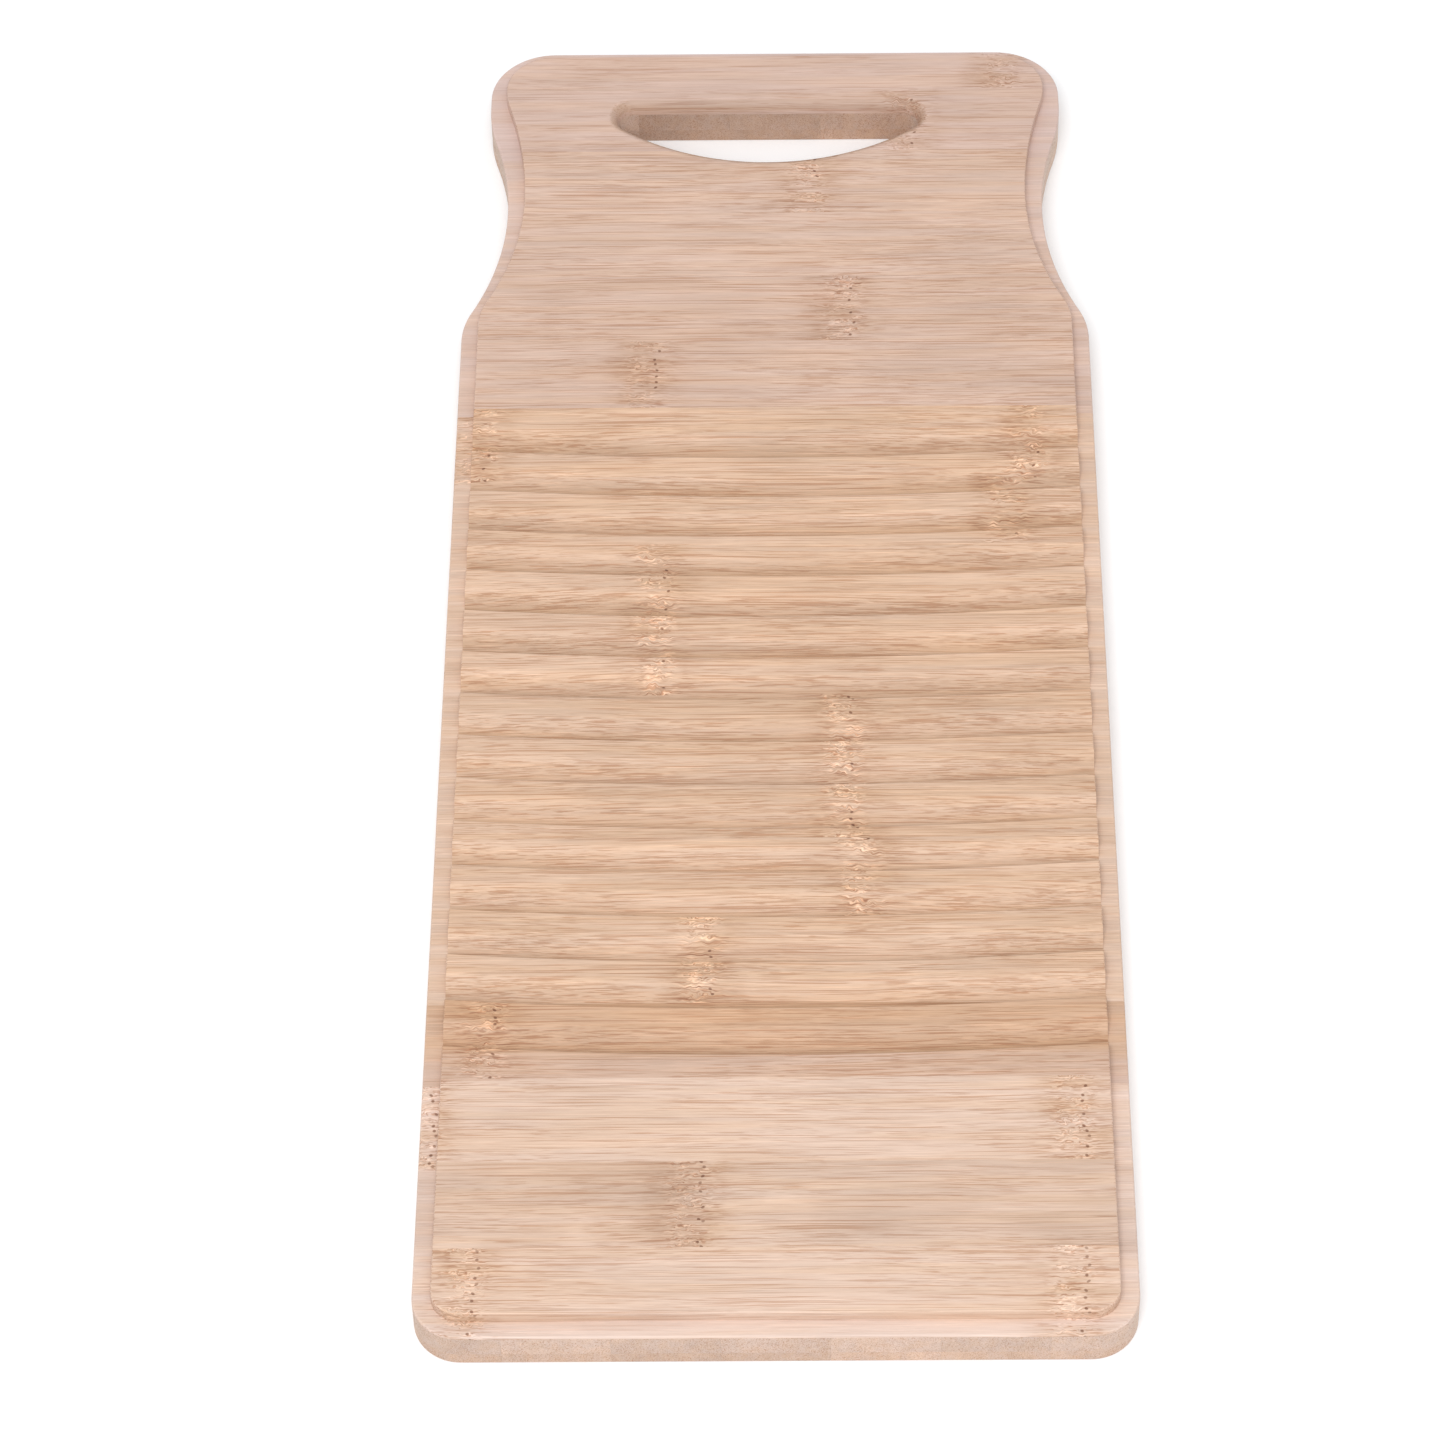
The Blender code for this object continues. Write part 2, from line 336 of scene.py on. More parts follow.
def make_shaped_board():
    """The board's whole outer shape, which every strip is cut to."""
    board = new_object("shaped_board", fill_board)
    slot = new_object("slot_cutter", fill_slot)
    grooves = new_object("groove_cutters", fill_grooves)
    add_boolean(board, "DIFFERENCE", slot)
    add_boolean(board, "DIFFERENCE", grooves)
    apply_modifiers(board)
    bpy.data.objects.remove(slot)
    bpy.data.objects.remove(grooves)
    return board


def fill_block(shape, low, high):
    """A rectangular block with flat faces."""
    bmesh.ops.create_cube(shape, size=1)
    bmesh.ops.scale(shape, vec=high - low, verts=shape.verts)
    bmesh.ops.translate(shape, vec=(low + high) / 2, verts=shape.verts)


def make_strip(node, low, high, material, board):
    """The finished strip that stands for a CAD node, cut from a block and shaded smooth."""
    strip = new_object("bamboo_" + node, fill_block, Vector(low), Vector(high))
    add_boolean(strip, "INTERSECT", board)
    apply_modifiers(strip)
    mesh = strip.data
    mesh.polygons.foreach_set("use_smooth", [True] * len(mesh.polygons))
    mesh.set_sharp_from_angle(angle=SMOOTH_BELOW)
    normals = strip.modifiers.new("even_normals", "WEIGHTED_NORMAL")
    normals.keep_sharp = True
    mesh.materials.clear()
    mesh.materials.append(material)
    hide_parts(node)
    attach(strip, "root")


class Graph:
    """Adds shader nodes to a tree and links them. A value is a number, a colour or a node's output."""

    def __init__(self, tree):
        self.tree = tree

    def add(self, kind, inputs=(), **settings):
        node = self.tree.nodes.new(kind)
        for key, value in settings.items():
            setattr(node, key, value)
        for key, value in dict(inputs).items():
            self.feed(node.inputs[key], value)
        return node

    def feed(self, socket, value):
        if isinstance(value, bpy.types.NodeSocket):
            self.tree.links.new(value, socket)
        else:
            socket.default_value = value

    def math(self, operation, a, b=0.0, clamp=False):
        node = self.add("ShaderNodeMath", {0: a, 1: b}, operation=operation, use_clamp=clamp)
        return node.outputs[0]

    def plus(self, a, b):
        return self.math("ADD", a, b)

    def minus(self, a, b):
        return self.math("SUBTRACT", a, b)

    def product(self, first, *others):
        for other in others:
            first = self.math("MULTIPLY", first, other)
        return first

    def weighted(self, *terms):
        """The sum of some values, each given with its weight."""
        total = self.product(*terms[0])
        for term in terms[1:]:
            total = self.plus(total, self.product(*term))
        return total

    def vector(self, x, y, z):
        return self.add("ShaderNodeCombineXYZ", {0: x, 1: y, 2: z}).outputs[0]

    def split(self, vector):
        return self.add("ShaderNodeSeparateXYZ", {0: vector}).outputs

    def scaled(self, vector, factors):
        inputs = {0: vector, 1: factors}
        return self.add("ShaderNodeVectorMath", inputs, operation="MULTIPLY").outputs[0]

    def moved(self, vector, offset):
        inputs = {0: vector, 1: offset}
        return self.add("ShaderNodeVectorMath", inputs, operation="ADD").outputs[0]

    def ramp(self, value, start, end, low=0.0, high=1.0):
        """A smooth change from low to high as value goes from start to end."""
        inputs = {"Value": value, "From Min": start, "From Max": end, "To Min": low, "To Max": high}
        node = self.add("ShaderNodeMapRange", inputs, interpolation_type="SMOOTHSTEP")
        return node.outputs["Result"]

    def noise(self, vector, detail=2.0, roughness=0.5):
        inputs = {"Vector": vector, "Scale": 1.0, "Detail": detail, "Roughness": roughness}
        return self.add("ShaderNodeTexNoise", inputs).outputs["Fac"]

    def stretched(self, place, along, across, detail=2.0, roughness=0.5):
        """Noise from 0 to 1, with so many swells to a mm along the fibres and across them."""
        return self.noise(self.scaled(place, (along, across, across)), detail, roughness)

    def swing(self, *arguments, **settings):
        """Stretched noise that goes as far below zero as above it."""
        return self.minus(self.stretched(*arguments, **settings), 0.5)

    def patches(self, place, along, across, shown, detail=1.0, roughness=0.5, low=0.0):
        """Patches or streaks, where stretched noise rises through the two values in shown."""
        return self.ramp(self.stretched(place, along, across, detail, roughness), *shown, low)

    def cells(self, vector):
        """(distance to the nearest cell's centre, a random number for the cell)."""
        node = self.add("ShaderNodeTexVoronoi", {"Vector": vector, "Scale": 1.0})
        return node.outputs["Distance"], self.chance(node)

    def spaced(self, position):
        """(distance to the nearest of some points about one unit apart, a random number for it)."""
        node = self.add("ShaderNodeTexVoronoi", voronoi_dimensions="1D")
        self.feed(node.inputs["W"], position)
        self.feed(node.inputs["Scale"], 1.0)
        return node.outputs["Distance"], self.chance(node)

    def chance(self, cells_node):
        return self.add("ShaderNodeSeparateColor", {0: cells_node.outputs["Color"]}).outputs[0]

    def mix(self, factor, a, b, blend="MIX"):
        node = self.add("ShaderNodeMix", data_type="RGBA", blend_type=blend)
        for socket, value in zip((node.inputs[0], node.inputs[6], node.inputs[7]), (factor, a, b)):
            self.feed(socket, value)
        return node.outputs[2]

    def tint(self, colour, tone, amount):
        """The colour multiplied by a tone where amount is 1."""
        return self.mix(amount, colour, self.mix(1.0, colour, (*tone, 1), "MULTIPLY"))


# Bamboo grain is made in mm, with the fibres along the first axis.
MM_PER_M = 1000.0
TOP_MM = TOP * MM_PER_M
LEDGE_MM = LEDGE_TOP * MM_PER_M
SEED_SHIFT_MM = (173.0, 59.0, 37.0)

# Round a node of the culm: how far out each thing fades in, and how far the fibres stray.
NODE_BAND_MM = (8.0, 1.0)
NODE_SURROUND_MM = (15.0, 3.0)
STAIN_BEFORE_NODE_MM = (-38.0, -4.0)
STAIN_PAST_NODE_MM = (9.0, 0.0)
NODE_WANDER_MM = 5.0
DRIFT_MM = 3.0
CURL_MM = 3.4
BEND_SIDEWAYS = 0.7

# The dark specks just past a node. The larger a speck's random number, the fainter it is.
SPECKS_PER_MM = 0.42
SPECK_FADE_MM = (0.56, 0.30)
SPECK_AHEAD_MM = (2.4, 3.6)
SPECK_CHANCES = (0.3, 0.9)
FAINTEST_SPECK = 0.7
SPECK_STRENGTH = 0.85

# The dots of the fibres cut across. The larger a dot's random number, the stronger it is.
END_DOTS_PER_MM = 1.7
END_DOTS_PER_MM_ALONG = 0.01
END_DOT_FADE = (0.38, 0.14)
END_DOT_CHANCES = (0.1, 0.9)
FAINTEST_END_DOT = 0.3

# How strongly each kind of grain shows in the colour.
FINE_WEIGHT = 0.36
BAND_WEIGHT = 0.20
PALE_WEIGHT = 0.12
CURL_WEIGHT = 0.34
CLOUD_WEIGHT = 0.28
LINE_WEIGHT = 1.0
FINE_LINE_WEIGHT = 0.28
DASH_WEIGHT = 0.80
WARM_WEIGHT = 0.7
SNAG_WEIGHT = 0.85
PATCH_WEIGHT = 0.7
LINES_ON_LEDGE = 0.4

# The roughness, what each kind of grain adds to it, and how far each stands up or sinks in.
ROUGHNESS = 0.54
LINE_ROUGHNESS = 0.10
FINE_ROUGHNESS = 0.20
END_ROUGHNESS = 0.10
FINE_RELIEF = 0.6
LINE_RELIEF = -0.7
CURL_RELIEF = 0.3
SPECK_RELIEF = -1.0

# Tones, which multiply the colour under them.
WARM_TONE = (1.0, 0.955, 0.88)
LINE_TONE = (0.75, 0.62, 0.54)
SNAG_TONE = (0.68, 0.53, 0.44)
LEDGE_TONE = (1.02, 1.07, 1.15)
SCORCH_TONE = (0.91, 0.87, 0.81)
# Browner cut wood together with painted shade, on upward faces low in the grooves and on the slot's
# rounded rim.
DEPTH_BROWN_AND_SHADE_TONE = (0.82, 0.785, 0.73)
STAIN_TONE = (0.83, 0.79, 0.76)
SPECK_TONE = (0.34, 0.22, 0.15)
END_TONE = (0.98, 0.97, 0.98)
END_DOT_TONE = (0.86, 0.80, 0.74)

# What the bamboo node group is given and what it gives back.
GROUP_INPUTS = {
    "Position": "NodeSocketVector",
    "End Facing": "NodeSocketFloat",
    "Depth": "NodeSocketFloat",
    "Ledge": "NodeSocketFloat",
    "Seed": "NodeSocketFloat",
    "First Mark": "NodeSocketFloat",
    "Second Mark": "NodeSocketFloat",
    "Color": "NodeSocketColor",
    "Grain": "NodeSocketFloat",
    "Stain": "NodeSocketFloat",
    "Dots": "NodeSocketFloat",
}
GROUP_OUTPUTS = {
    "Color": "NodeSocketColor",
    "Roughness": "NodeSocketFloat",
    "Height": "NodeSocketFloat",
}


class Culm(NamedTuple):
    """Where a point is in the bamboo it was cut from, as sockets."""

    place: object
    fibre: object
    past_node: object
    at_node: object
    near_node: object


def find_culm(g, given):
    """The place in the bamboo, with fibres that wander a little everywhere and curl at a node."""
    place = g.moved(given["Position"], g.scaled(given["Seed"], SEED_SHIFT_MM))
    along = g.split(given["Position"])[0]
    wander = g.product(g.stretched(place, along=0.0, across=0.16), NODE_WANDER_MM)
    past_first = g.minus(g.plus(along, wander), given["First Mark"])
    past_second = g.minus(g.plus(along, wander), given["Second Mark"])
    from_first = g.math("ABSOLUTE", past_first)
    from_second = g.math("ABSOLUTE", past_second)
    first_is_nearer = g.math("LESS_THAN", from_first, from_second)
    past_node = g.plus(past_second, g.product(first_is_nearer, g.minus(past_first, past_second)))
    away = g.math("ABSOLUTE", past_node)
    ragged = g.patches(place, along=0.10, across=0.30, shown=(0.36, 0.60), low=0.15)
    at_node = g.product(g.ramp(away, *NODE_BAND_MM), ragged)
    near_node = g.ramp(away, *NODE_SURROUND_MM)

    drift = g.swing(place, along=0.012, across=0.03, detail=1)
    curl = g.swing(place, along=0.34, across=0.42, detail=1, roughness=0.6)
    bend = g.plus(g.product(drift, DRIFT_MM), g.product(curl, at_node, CURL_MM))
    x, y, z = g.split(place)
    fibre = g.vector(x, g.plus(y, bend), g.plus(z, g.product(bend, BEND_SIDEWAYS)))
    return Culm(place, fibre, past_node, at_node, near_node)


class Grain(NamedTuple):
    """The grain at a point, as sockets: dark lines, fine fibre and the bright curls of a node."""

    dark: object
    fine: object
    curls: object


def streaks(g, fibre, along, across, shown):
    """Streaks drawn out along the fibres."""
    return g.patches(fibre, along, across, shown, detail=2.0, roughness=0.55)


def find_grain(g, given, culm):
    """Long dark lines, finer ones and short dashes that crowd in places, with the fibre between them."""
    lines = streaks(g, culm.fibre, along=0.020, across=2.90, shown=(0.565, 0.635))
    fine_lines = streaks(g, culm.fibre, along=0.045, across=4.20, shown=(0.530, 0.640))
    crowd = g.patches(culm.place, along=0.022, across=0.11, shown=(0.40, 0.60), detail=2, low=0.10)
    dashes = streaks(g, culm.fibre, along=0.110, across=3.20, shown=(0.545, 0.640))
    dashes = g.product(dashes, crowd)
    dark = g.weighted((lines, LINE_WEIGHT), (fine_lines, FINE_LINE_WEIGHT), (dashes, DASH_WEIGHT))
    dark = g.math("MULTIPLY", dark, given["Grain"], clamp=True)
    dark = g.product(dark, g.ramp(given["Ledge"], 0.0, 1.0, 1.0, LINES_ON_LEDGE))
    fine = g.swing(culm.fibre, along=0.16, across=5.0, detail=3, roughness=0.7)
    curls = streaks(g, culm.fibre, along=0.24, across=1.80, shown=(0.500, 0.620))
    return Grain(dark, fine, g.product(culm.at_node, curls))


def colour_grain(g, given, culm, grain):
    """The strip's colour with its grain, soft bands along it and cloudy patches."""
    pale = streaks(g, culm.fibre, along=0.030, across=2.40, shown=(0.550, 0.680))
    snags = streaks(g, culm.fibre, along=0.16, across=2.60, shown=(0.525, 0.620))
    bands = g.swing(culm.fibre, along=0.007, across=0.42)
    cloud = g.swing(culm.place, along=0.022, across=0.075)
    value = g.weighted((grain.fine, FINE_WEIGHT), (bands, BAND_WEIGHT), (pale, PALE_WEIGHT))
    value = g.plus(value, g.product(grain.curls, given["Grain"], CURL_WEIGHT))
    value = g.weighted((value, given["Grain"]), (cloud, CLOUD_WEIGHT))
    value = g.plus(value, 1.0)
    colour = g.mix(1.0, given["Color"], g.vector(value, value, value), "MULTIPLY")
    warm = g.patches(culm.fibre, along=0.014, across=0.30, shown=(0.38, 0.62))
    colour = g.tint(colour, WARM_TONE, g.product(warm, WARM_WEIGHT))
    colour = g.tint(colour, LINE_TONE, grain.dark)
    return g.tint(colour, SNAG_TONE, g.product(culm.near_node, snags, SNAG_WEIGHT))


def colour_cuts_and_stains(g, given, culm, colour):
    """Paler on the routed ledge, browner and darker low in a groove or on the slot's rounded rim
    (browner cut wood together with painted shade), browner round a node, greyer where it's stained.
    """
    colour = g.tint(colour, LEDGE_TONE, given["Ledge"])
    scorched = g.patches(culm.fibre, along=0.06, across=0.16, shown=(0.42, 0.60))
    colour = g.tint(colour, SCORCH_TONE, g.product(culm.near_node, scorched))
    # Browner cut wood together with painted shade in the hollows.
    colour = g.tint(colour, DEPTH_BROWN_AND_SHADE_TONE, given["Depth"])
    patch = g.patches(culm.fibre, along=0.016, across=0.06, shown=(0.36, 0.60), detail=2)
    before = g.product(
        g.ramp(culm.past_node, *STAIN_BEFORE_NODE_MM),
        g.ramp(culm.past_node, *STAIN_PAST_NODE_MM),
    )
    stain = g.product(g.math("MAXIMUM", g.product(patch, PATCH_WEIGHT), before), given["Stain"])
    return g.tint(colour, STAIN_TONE, stain)


def find_specks(g, given, culm):
    """Small dark dots in a line just past each node."""
    _, y, z = g.split(culm.place)
    distance, chance = g.spaced(g.product(g.plus(y, z), SPECKS_PER_MM))
    ahead = g.minus(culm.past_node, g.ramp(chance, 0.0, 1.0, *SPECK_AHEAD_MM))
    aside = g.math("DIVIDE", distance, SPECKS_PER_MM)
    off_centre = g.math("SQRT", g.plus(g.math("POWER", ahead, 2.0), g.math("POWER", aside, 2.0)))
    shown = g.math("LESS_THAN", chance, given["Dots"])
    strength = g.ramp(chance, *SPECK_CHANCES, 1.0, FAINTEST_SPECK)
    return g.product(g.ramp(off_centre, *SPECK_FADE_MM), shown, strength)


def colour_end_grain(g, given, culm, colour):
    """Cut across, the fibres show as dots."""
    colour = g.tint(colour, END_TONE, given["End Facing"])
    dots_per_mm = (END_DOTS_PER_MM_ALONG, END_DOTS_PER_MM, END_DOTS_PER_MM)
    distance, chance = g.cells(g.scaled(culm.place, dots_per_mm))
    strength = g.ramp(chance, *END_DOT_CHANCES, FAINTEST_END_DOT, 1.0)
    dot = g.product(given["End Facing"], g.ramp(distance, *END_DOT_FADE), strength)
    return g.tint(colour, END_DOT_TONE, dot)


def make_bamboo_group():
    """Bamboo as it grows: long fibres along the first axis, seen as streaks or as end-grain dots."""
    tree = bpy.data.node_groups.new("bamboo", "ShaderNodeTree")
    for name, kind in GROUP_INPUTS.items():
        tree.interface.new_socket(name, in_out="INPUT", socket_type=kind)
    for name, kind in GROUP_OUTPUTS.items():
        tree.interface.new_socket(name, in_out="OUTPUT", socket_type=kind)
    g = Graph(tree)
    given = g.add("NodeGroupInput").outputs
    culm = find_culm(g, given)
    grain = find_grain(g, given, culm)
    specks = find_specks(g, given, culm)
    colour = colour_grain(g, given, culm, grain)
    colour = colour_cuts_and_stains(g, given, culm, colour)
    colour = g.tint(colour, SPECK_TONE, g.product(specks, SPECK_STRENGTH))
    colour = colour_end_grain(g, given, culm, colour)
    rougher = g.weighted(
        (grain.dark, LINE_ROUGHNESS),
        (grain.fine, FINE_ROUGHNESS),
        (given["End Facing"], END_ROUGHNESS),
    )
    height = g.weighted(
        (grain.fine, FINE_RELIEF),
        (grain.dark, LINE_RELIEF),
        (grain.curls, CURL_RELIEF),
        (specks, SPECK_RELIEF),
    )
    roughness = g.plus(rougher, ROUGHNESS)
    g.add("NodeGroupOutput", {"Color": colour, "Roughness": roughness, "Height": height})
    return tree


class Bamboo(NamedTuple):
    """What one strip's bamboo looks like.

    marks are where the culm's nodes cross the strip, in mm along it. near_colour is the colour of
    its near edge, where that differs. brown_and_shade_depth_mm is the depth at which the wood is fully
    browner and darker, browner cut wood together with painted shade, and dots is the share of the specks
    past a node that show.
    """

    colour: tuple
    marks: tuple = ()
    stain: float = 0.0
    grain: float = 1.0
    near_colour: tuple = ()
    brown_and_shade_depth_mm: float = 2.8
    dots: float = 0.25


# A mark this far off is never seen. The near colour fades out between these two places.
NO_MARK_MM = 1000.0
NEAR_COLOUR_ENDS_MM = (5.5, 10.0)

# Where the browner wood and the painted shade start below the top, and how a face counts as ledge, end
# grain or level.
BROWN_AND_SHADE_STARTS_MM = 0.02
LEDGE_FADE_MM = 0.08
FACING_ALONG = (0.35, 0.85)
FACING_UP = (0.05, 0.40)
RELIEF_DEPTH = 0.00006
RELIEF_STRENGTH = 0.6


def bamboo_material(name, grain_axis, seed, bamboo, near_edge_mm=0.0):
    """A strip's own material. grain_axis is 0 for grain across the board and 1 for grain along it."""
    material = bpy.data.materials.new(name)
    material.use_nodes = True
    g = Graph(material.node_tree)
    place = g.add("ShaderNodeTexCoord").outputs["Object"]
    place_mm = g.split(g.scaled(place, (MM_PER_M,) * 3))
    normal = g.split(g.add("ShaderNodeNewGeometry").outputs["Normal"])
    upward = g.ramp(normal[2], *FACING_UP)
    # How far below the top a face is; deeper faces get browner cut wood together with painted shade.
    sunk = g.ramp(place_mm[2], TOP_MM - BROWN_AND_SHADE_STARTS_MM, TOP_MM - bamboo.brown_and_shade_depth_mm)
    above_ledge = g.ramp(place_mm[2], LEDGE_MM, LEDGE_MM + LEDGE_FADE_MM)
    on_ledge = g.ramp(place_mm[2], LEDGE_MM + LEDGE_FADE_MM, LEDGE_MM)
    colour = (*bamboo.colour, 1)
    if bamboo.near_colour:
        inwards = g.minus(place_mm[1], near_edge_mm)
        colour = g.mix(g.ramp(inwards, *NEAR_COLOUR_ENDS_MM), (*bamboo.near_colour, 1), colour)
    marks = (*bamboo.marks, NO_MARK_MM, NO_MARK_MM)
    inputs = {
        "Position": g.vector(place_mm[grain_axis], place_mm[1 - grain_axis], place_mm[2]),
        "End Facing": g.ramp(g.math("ABSOLUTE", normal[grain_axis]), *FACING_ALONG),
        "Depth": g.product(sunk, above_ledge, upward),
        "Ledge": g.product(upward, on_ledge),
        "Seed": float(seed),
        "First Mark": marks[0],
        "Second Mark": marks[1],
        "Color": colour,
        "Grain": bamboo.grain,
        "Stain": bamboo.stain,
        "Dots": bamboo.dots,
    }
    wood = g.add("ShaderNodeGroup", node_tree=bamboo_group)
    for key, value in inputs.items():
        g.feed(wood.inputs[key], value)
    relief = {"Height": wood.outputs["Height"], "Distance": RELIEF_DEPTH, "Strength": RELIEF_STRENGTH}
    shader = material.node_tree.nodes["Principled BSDF"]
    g.feed(shader.inputs["Base Color"], wood.outputs["Color"])
    g.feed(shader.inputs["Roughness"], wood.outputs["Roughness"])
    g.feed(shader.inputs["Normal"], g.add("ShaderNodeBump", relief).outputs["Normal"])
    return material


# The colours of the bamboo.
PALE = (0.640, 0.474, 0.378)
TAN = (0.626, 0.463, 0.366)
DULL_TAN = (0.552, 0.384, 0.294)
AMBER = (0.544, 0.352, 0.233)
HONEY = (0.632, 0.440, 0.319)
DULL_HONEY = (0.608, 0.424, 0.306)
ROSE = (0.622, 0.449, 0.362)
PINK = (0.615, 0.446, 0.374)
CORE = (0.60, 0.457, 0.375)
BACK = (0.57, 0.42, 0.33)

# The bamboo of each face strip, from the front.
FACE_BAMBOO = [
    Bamboo(PALE, (-75, 76), dots=0.85),
    Bamboo(TAN, (-19,), stain=0.9, dots=0.8),
    Bamboo(PALE, (-87, 78), dots=0.85),
    Bamboo(AMBER, (-72,), grain=1.2, near_colour=DULL_TAN, brown_and_shade_depth_mm=5.0),
    Bamboo(DULL_HONEY, (-17,), grain=1.3, brown_and_shade_depth_mm=6.0),
    Bamboo(DULL_HONEY, (25,), grain=1.3, brown_and_shade_depth_mm=6.0),
    Bamboo(DULL_HONEY, (21,), grain=1.3, brown_and_shade_depth_mm=6.0),
    Bamboo(DULL_HONEY, (21,), grain=1.3, brown_and_shade_depth_mm=5.0),
    Bamboo(HONEY, (-30,), grain=1.3),
    Bamboo(HONEY, (-30,), grain=1.3),
    Bamboo(HONEY, (67,), grain=1.3),
    Bamboo(HONEY, (-81, 73), grain=1.3),
    Bamboo(ROSE, (-34,), stain=0.4, dots=0.6),
    Bamboo(ROSE, (22,), stain=0.4, dots=0.5),
    Bamboo(ROSE),
    Bamboo(ROSE, (12,), brown_and_shade_depth_mm=0.4),
    Bamboo(PINK, (41,), grain=0.7, brown_and_shade_depth_mm=0.4),
    Bamboo(PINK, (70,), grain=0.7, brown_and_shade_depth_mm=0.4),
]

# The strips along the board, from the left: how light each is and where a node crosses it.
CORE_SHADES = (0.87, 0.97, 0.90, 0.91, 1.02, 0.92, 0.96)
BACK_SHADES = (0.96, 0.98, 0.905, 0.94, 1.076, 1.025, 1.04)
LONG_STRIP_MARKS_MM = (-60, 35, 90, -110, 10, 140, -20)
CORE_FIRST_SEED = 60
BACK_FIRST_SEED = 40
# Painted shade: the grip pieces are darkened so that the slot's far wall, which they form, looks shaded.
GRIP_SHADE_TONE = (0.88, 0.83, 0.79)


def make_face_strips(board):
    """The strips across the board, each with its grain across it."""
    half_gap = GLUE_LINE / 2
    half_width = BOARD_WIDTH / 2 + REACH
    for i, bamboo in enumerate(FACE_BAMBOO):
        far = FIRST_FACE_STRIP_END + i * FACE_STRIP_WIDTH
        near = far - FACE_STRIP_WIDTH
        low = (-half_width, FRONT + near + half_gap, CORE_TOP + half_gap)
        high = (half_width, FRONT + far - half_gap, TOP + REACH)
        node = f"face_strip_{i + 1:02d}"
        material = bamboo_material(node, 0, i + 1, bamboo, (FRONT + near) * MM_PER_M)
        make_strip(node, low, high, material, board)


def toned(colour, tone):
    """A colour multiplied by a tone."""
    return tuple(channel * factor for channel, factor in zip(colour, tone))


def make_long_strips(ply, bottom, top, colour, shades, first_seed, board):
    """The strips along the board. A strip that the hand slot cuts in two goes on in the grip, coloured
    darker all over: painted shade for the slot's far wall, which the grip pieces form.
    """
    half_slot = SLOT_END_OFFSET + SLOT_END_RADIUS
    near_end = FRONT - REACH
    slot_y = FRONT + SLOT_END_CENTRE_Y
    far_end = FRONT + BOARD_LENGTH + REACH
    for i, shade in enumerate(shades):
        left = (i - len(shades) / 2) * LONG_STRIP_WIDTH + GLUE_LINE / 2
        right = left + LONG_STRIP_WIDTH - GLUE_LINE
        node = f"{ply}_strip_{i + 1}"
        bamboo = Bamboo(toned(colour, (shade,) * 3), (LONG_STRIP_MARKS_MM[i],))
        pieces = [(node, bamboo, near_end, far_end)]
        if SLOT_CENTRE_X - half_slot < left and right < SLOT_CENTRE_X + half_slot:
            # The grip piece is darker: painted shade for the slot's far wall.
            shaded_grip = bamboo._replace(colour=toned(bamboo.colour, GRIP_SHADE_TONE))
            pieces = [(node, bamboo, near_end, slot_y), (node + "_grip", shaded_grip, slot_y, far_end)]
        for piece, look, near, far in pieces:
            material = bamboo_material(piece, 1, first_seed + i, look)
            make_strip(piece, (left, near, bottom), (right, far, top), material, board)


# The studio: a pale floor, soft white light from all round and one large light in front.
FLOOR_HALF_WIDTH = 3.0
FLOOR_SQUARES = 8
FLOOR_TONES = ((0.915, 0.925, 0.94, 1), (0.935, 0.945, 0.96, 1))
FLOOR_ROUGHNESS = 0.9
FLOOR_SHINE = 0.1
FLOOR_GLOW = 0.06
WHITE = (1.0, 1.0, 1.0, 1)
ROOM_BRIGHTNESS = 0.78
SOFTBOX_PLACE = Vector((-0.15, -1.00, 1.40))
SOFTBOX_TARGET = Vector((0, -0.03, 0))
SOFTBOX_WIDTH = 1.0
SOFTBOX_POWER = 18


def fill_floor(shape):
    squares = FLOOR_SQUARES
    bmesh.ops.create_grid(shape, x_segments=squares, y_segments=squares, size=FLOOR_HALF_WIDTH)


def make_floor():
    """A pale floor with a faint unevenness, level with the board's underside."""
    floor = new_object("studio_floor", fill_floor)
    material = bpy.data.materials.new("studio_floor")
    material.use_nodes = True
    g = Graph(material.node_tree)
    shader = material.node_tree.nodes["Principled BSDF"]
    tooth = g.noise(g.add("ShaderNodeTexCoord").outputs["Object"])
    g.feed(shader.inputs["Base Color"], g.mix(tooth, *FLOOR_TONES))
    g.feed(shader.inputs["Roughness"], FLOOR_ROUGHNESS)
    g.feed(shader.inputs["Specular IOR Level"], FLOOR_SHINE)
    g.feed(shader.inputs["Emission Color"], WHITE)
    g.feed(shader.inputs["Emission Strength"], FLOOR_GLOW)
    floor.data.materials.append(material)


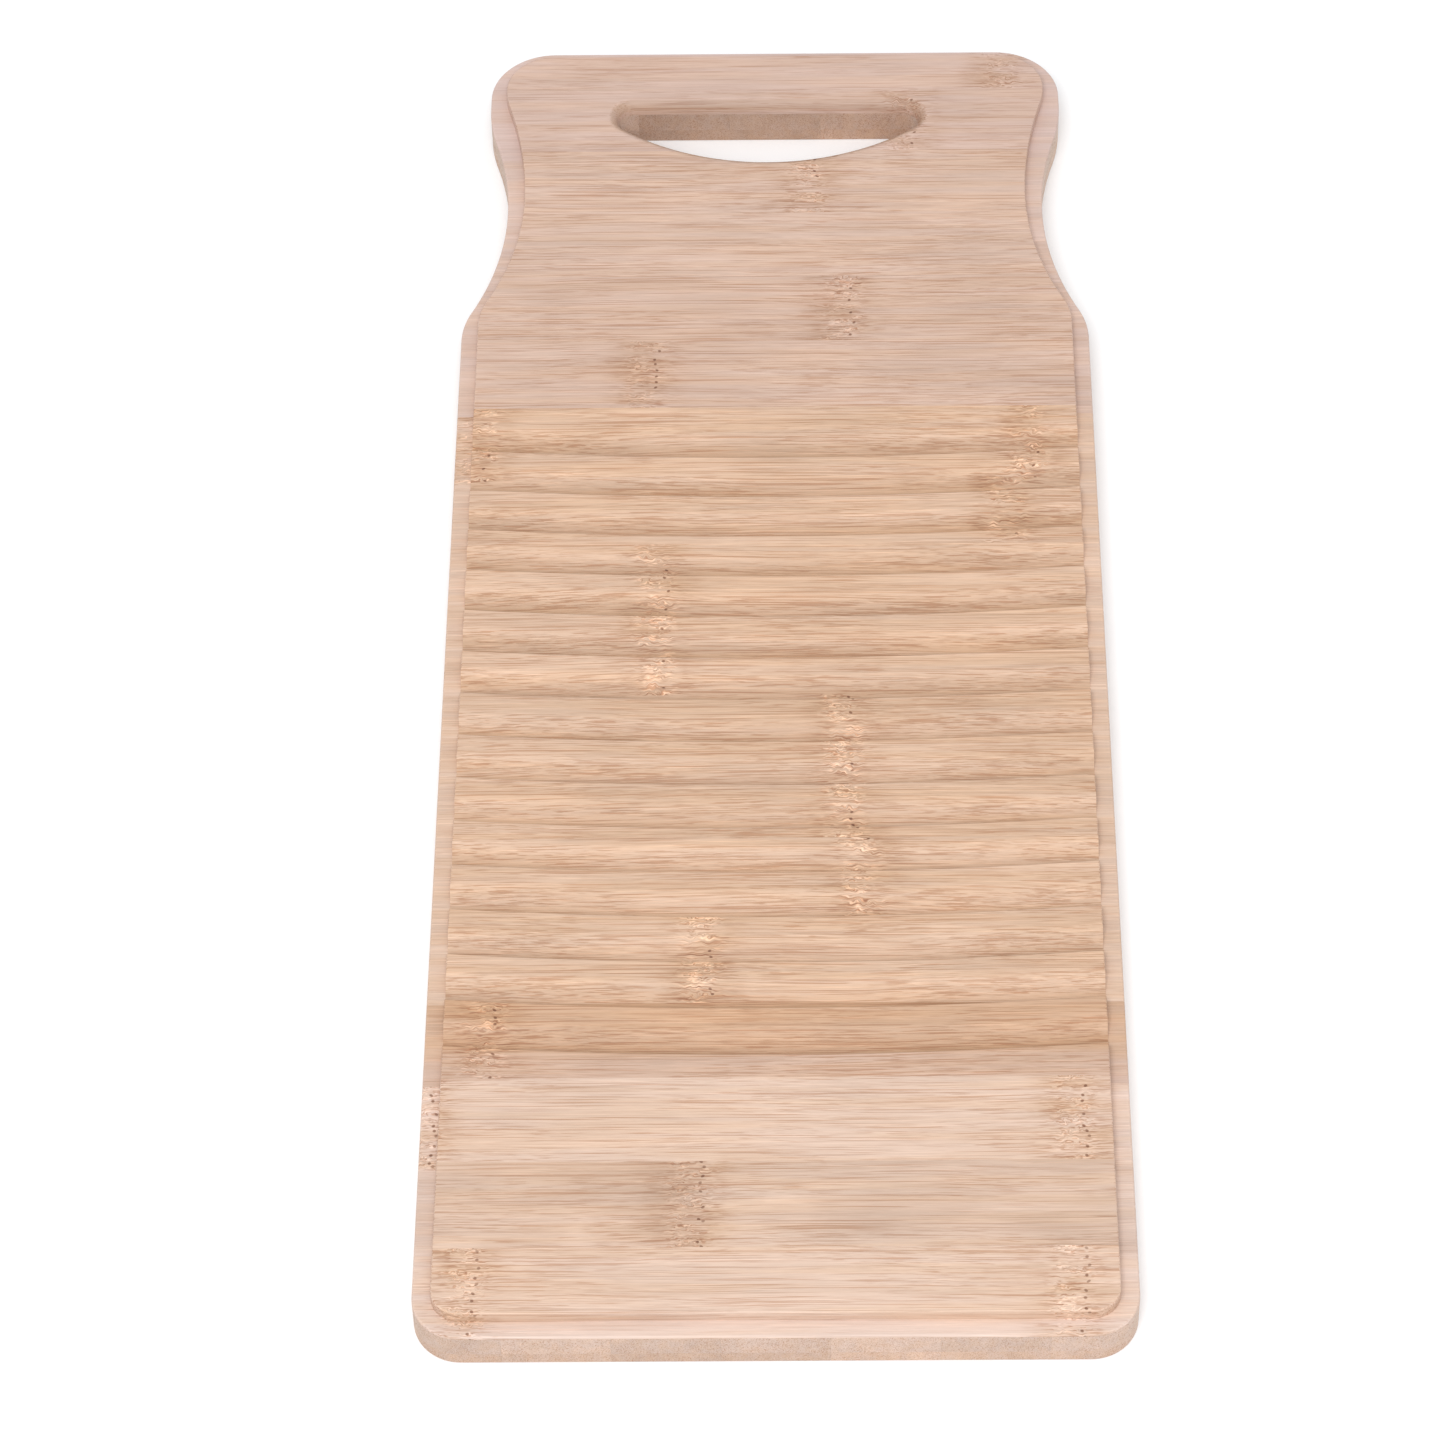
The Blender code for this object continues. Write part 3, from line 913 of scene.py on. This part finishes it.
def light_studio():
    """White light from all round, with a softbox over the near end."""
    world = bpy.data.worlds.new("soft_room")
    world.use_nodes = True
    background = world.node_tree.nodes["Background"]
    background.inputs["Color"].default_value = WHITE
    background.inputs["Strength"].default_value = ROOM_BRIGHTNESS
    bpy.context.scene.world = world

    light = bpy.data.lights.new("softbox_overhead", "AREA")
    light.shape = "DISK"
    light.size = SOFTBOX_WIDTH
    light.energy = SOFTBOX_POWER
    softbox = bpy.data.objects.new("softbox_overhead", light)
    softbox.location = SOFTBOX_PLACE
    softbox.rotation_euler = (SOFTBOX_TARGET - SOFTBOX_PLACE).to_track_quat("-Z", "Y").to_euler()
    bpy.context.scene.collection.objects.link(softbox)
    bpy.context.scene.view_settings.view_transform = "Standard"


# The camera looks down at the board from just right of its centre line.
CAMERA_ELEVATION = math.radians(50.008)
CAMERA_AZIMUTH = math.radians(0.575)
CAMERA_ROLL = math.radians(-0.79)
CAMERA_DISTANCE = 1.4246
CAMERA_LENS_MM = 131.79
CAMERA_SHIFT_X = -0.0365
CAMERA_TARGET = Vector((0, -0.0333, LEDGE_TOP))
CAMERA_CLIP_START = 0.05


def add_camera():
    """A long lens that looks down at the board from in front."""
    data = bpy.data.cameras.new("camera")
    data.lens = CAMERA_LENS_MM
    data.shift_x = CAMERA_SHIFT_X
    data.clip_start = CAMERA_CLIP_START
    camera = bpy.data.objects.new("camera", data)
    flat = math.cos(CAMERA_ELEVATION)
    back_x = math.sin(CAMERA_AZIMUTH) * flat
    back_y = -math.cos(CAMERA_AZIMUTH) * flat
    back = Vector((back_x, back_y, math.sin(CAMERA_ELEVATION)))
    aim = (-back).to_track_quat("-Z", "Y").to_matrix().to_4x4()
    roll = Matrix.Rotation(CAMERA_ROLL, 4, "Z")
    place = Matrix.Translation(CAMERA_TARGET + back * CAMERA_DISTANCE)
    camera.matrix_world = place @ (aim @ roll)
    bpy.context.scene.collection.objects.link(camera)
    bpy.context.scene.camera = camera


bamboo_group = make_bamboo_group()
shaped_board = make_shaped_board()
half_glue = GLUE_LINE / 2
back_ply = (-REACH, BACK_TOP - half_glue, BACK, BACK_SHADES, BACK_FIRST_SEED)
core_ply = (BACK_TOP + half_glue, CORE_TOP - half_glue, CORE, CORE_SHADES, CORE_FIRST_SEED)
make_long_strips("back", *back_ply, shaped_board)
make_long_strips("core", *core_ply, shaped_board)
make_face_strips(shaped_board)
bpy.data.objects.remove(shaped_board)
make_floor()
light_studio()
add_camera()
